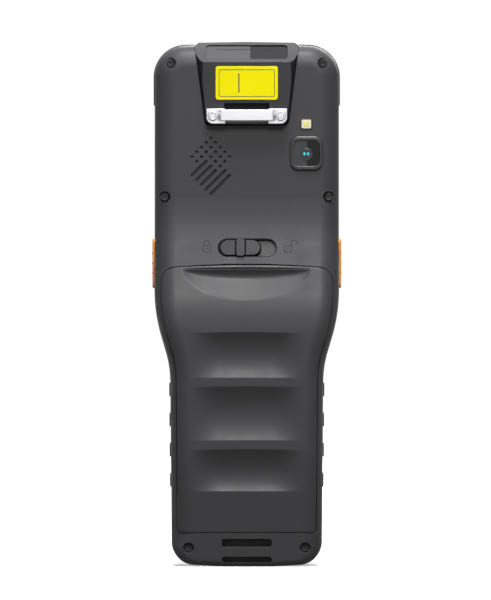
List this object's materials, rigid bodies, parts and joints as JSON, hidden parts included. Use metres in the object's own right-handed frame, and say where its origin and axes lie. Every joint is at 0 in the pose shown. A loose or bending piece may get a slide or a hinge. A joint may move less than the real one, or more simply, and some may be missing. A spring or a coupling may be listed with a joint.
{
  "type": "handheld barcode data terminal",
  "caption": "Handheld barcode terminal with a waisted case, raised scan cap, strap bracket, camera, sliding latch, grooved removable battery, side keys, screen and keypad.",
  "frame": {"origin": "middle of the lower end, on the surface that it stands on", "axes": "+X across the case, to the right when the rear with the battery is looked at; +Y out of the screen and keys; +Z along the case, up to the scanning end"},
  "size_m": [0.0724, 0.035, 0.2],
  "materials": {
    "body_plastic": "fine moulded texture",
    "cap_plastic": "fine moulded texture",
    "cover_plastic": "fine moulded texture",
    "grip_rubber": "soft matte overmould",
    "orange_rubber": "soft matte",
    "key_rubber": "soft matte",
    "scan_key_rubber": "soft matte",
    "dark_glass": "polished",
    "screen_glass": "polished",
    "screen_panel": "smooth",
    "lens_clear": "polished",
    "lamp_clear": "polished",
    "label_yellow": "satin film",
    "bracket_metal": "satin",
    "screw_steel": "blackened",
    "contact_gold": "plated",
    "board_green": "solder mask",
    "module_black": "moulded",
    "mesh_black": "woven mesh",
    "socket_steel": "drawn shell",
    "cell_case": "smooth",
    "seal_rubber": "moulded"
  },
  "bodies": {
    "case": {"rear_housing": "body_plastic", "front_housing": "body_plastic", "scan_cap": "cap_plastic", "battery_contacts": "contact_gold", "corner_bumpers": "grip_rubber", "side_grip_left": "grip_rubber", "side_grip_right": "grip_rubber", "case_seal": "seal_rubber", "case_screws": "screw_steel", "scan_window": "dark_glass", "scan_engine": "module_black", "label_plate": "label_yellow", "strap_bracket": "bracket_metal", "strap_bracket_screws": "bracket_metal", "camera_bezel": "cap_plastic", "camera_window": "dark_glass", "camera_module": "module_black", "flash_lens": "lens_clear", "speaker": "module_black", "speaker_mesh": "mesh_black", "side_switches": "module_black", "display_window": "screen_glass", "display_module": "screen_panel", "main_board": "board_green", "keypad_board": "board_green", "earpiece_mesh": "mesh_black", "status_light": "lamp_clear", "usb_socket": "socket_steel", "charging_contacts": "contact_gold"},
    "battery": {"battery_cover": "cover_plastic", "battery_pack": "cell_case"},
    "latch": {"latch_slider": "cap_plastic", "latch_bolt": "module_black"},
    "side_key_left": {"side_key_left": "orange_rubber"},
    "side_key_right": {"side_key_right": "orange_rubber"},
    "key_scan": {"key_scan": "scan_key_rubber"},
    "key_escape": {"key_escape": "key_rubber"},
    "key_back": {"key_back": "key_rubber"},
    "key_menu": {"key_menu": "key_rubber"},
    "key_enter": {"key_enter": "key_rubber"},
    "key_1": {"key_1": "key_rubber"},
    "key_2": {"key_2": "key_rubber"},
    "key_3": {"key_3": "key_rubber"},
    "key_power": {"key_power": "key_rubber"},
    "key_4": {"key_4": "key_rubber"},
    "key_5": {"key_5": "key_rubber"},
    "key_6": {"key_6": "key_rubber"},
    "key_up": {"key_up": "key_rubber"},
    "key_7": {"key_7": "key_rubber"},
    "key_8": {"key_8": "key_rubber"},
    "key_9": {"key_9": "key_rubber"},
    "key_down": {"key_down": "key_rubber"},
    "key_point": {"key_point": "key_rubber"},
    "key_0": {"key_0": "key_rubber"},
    "key_hash": {"key_hash": "key_rubber"},
    "key_shift": {"key_shift": "key_rubber"}
  },
  "joints": [
    {"name": "battery_hinge", "type": "hinge", "parent": "case", "child": "battery", "pos_m": [0, -0.01349, 0.01285], "axis": [1, 0, 0], "range_deg": [0, 55]},
    {"name": "latch_slide", "type": "slide", "parent": "case", "child": "latch", "axis": [1, 0, 0], "range_m": [0, 0.0055]},
    {"name": "side_key_left_press", "type": "slide", "parent": "case", "child": "side_key_left", "axis": [1, 0, 0], "range_m": [0, 0.0007], "stiffness_N_per_m": 2000},
    {"name": "side_key_right_press", "type": "slide", "parent": "case", "child": "side_key_right", "axis": [-1, 0, 0], "range_m": [0, 0.0007], "stiffness_N_per_m": 2000},
    {"name": "key_scan_press", "type": "slide", "parent": "case", "child": "key_scan", "axis": [0, -1, 0], "range_m": [0, 0.0007], "stiffness_N_per_m": 1500},
    {"name": "key_escape_press", "type": "slide", "parent": "case", "child": "key_escape", "axis": [0, -1, 0], "range_m": [0, 0.0007], "stiffness_N_per_m": 1500},
    {"name": "key_back_press", "type": "slide", "parent": "case", "child": "key_back", "axis": [0, -1, 0], "range_m": [0, 0.0007], "stiffness_N_per_m": 1500},
    {"name": "key_menu_press", "type": "slide", "parent": "case", "child": "key_menu", "axis": [0, -1, 0], "range_m": [0, 0.0007], "stiffness_N_per_m": 1500},
    {"name": "key_enter_press", "type": "slide", "parent": "case", "child": "key_enter", "axis": [0, -1, 0], "range_m": [0, 0.0007], "stiffness_N_per_m": 1500},
    {"name": "key_1_press", "type": "slide", "parent": "case", "child": "key_1", "axis": [0, -1, 0], "range_m": [0, 0.0007], "stiffness_N_per_m": 1500},
    {"name": "key_2_press", "type": "slide", "parent": "case", "child": "key_2", "axis": [0, -1, 0], "range_m": [0, 0.0007], "stiffness_N_per_m": 1500},
    {"name": "key_3_press", "type": "slide", "parent": "case", "child": "key_3", "axis": [0, -1, 0], "range_m": [0, 0.0007], "stiffness_N_per_m": 1500},
    {"name": "key_power_press", "type": "slide", "parent": "case", "child": "key_power", "axis": [0, -1, 0], "range_m": [0, 0.0007], "stiffness_N_per_m": 1500},
    {"name": "key_4_press", "type": "slide", "parent": "case", "child": "key_4", "axis": [0, -1, 0], "range_m": [0, 0.0007], "stiffness_N_per_m": 1500},
    {"name": "key_5_press", "type": "slide", "parent": "case", "child": "key_5", "axis": [0, -1, 0], "range_m": [0, 0.0007], "stiffness_N_per_m": 1500},
    {"name": "key_6_press", "type": "slide", "parent": "case", "child": "key_6", "axis": [0, -1, 0], "range_m": [0, 0.0007], "stiffness_N_per_m": 1500},
    {"name": "key_up_press", "type": "slide", "parent": "case", "child": "key_up", "axis": [0, -1, 0], "range_m": [0, 0.0007], "stiffness_N_per_m": 1500},
    {"name": "key_7_press", "type": "slide", "parent": "case", "child": "key_7", "axis": [0, -1, 0], "range_m": [0, 0.0007], "stiffness_N_per_m": 1500},
    {"name": "key_8_press", "type": "slide", "parent": "case", "child": "key_8", "axis": [0, -1, 0], "range_m": [0, 0.0007], "stiffness_N_per_m": 1500},
    {"name": "key_9_press", "type": "slide", "parent": "case", "child": "key_9", "axis": [0, -1, 0], "range_m": [0, 0.0007], "stiffness_N_per_m": 1500},
    {"name": "key_down_press", "type": "slide", "parent": "case", "child": "key_down", "axis": [0, -1, 0], "range_m": [0, 0.0007], "stiffness_N_per_m": 1500},
    {"name": "key_point_press", "type": "slide", "parent": "case", "child": "key_point", "axis": [0, -1, 0], "range_m": [0, 0.0007], "stiffness_N_per_m": 1500},
    {"name": "key_0_press", "type": "slide", "parent": "case", "child": "key_0", "axis": [0, -1, 0], "range_m": [0, 0.0007], "stiffness_N_per_m": 1500},
    {"name": "key_hash_press", "type": "slide", "parent": "case", "child": "key_hash", "axis": [0, -1, 0], "range_m": [0, 0.0007], "stiffness_N_per_m": 1500},
    {"name": "key_shift_press", "type": "slide", "parent": "case", "child": "key_shift", "axis": [0, -1, 0], "range_m": [0, 0.0007], "stiffness_N_per_m": 1500}
  ]
}
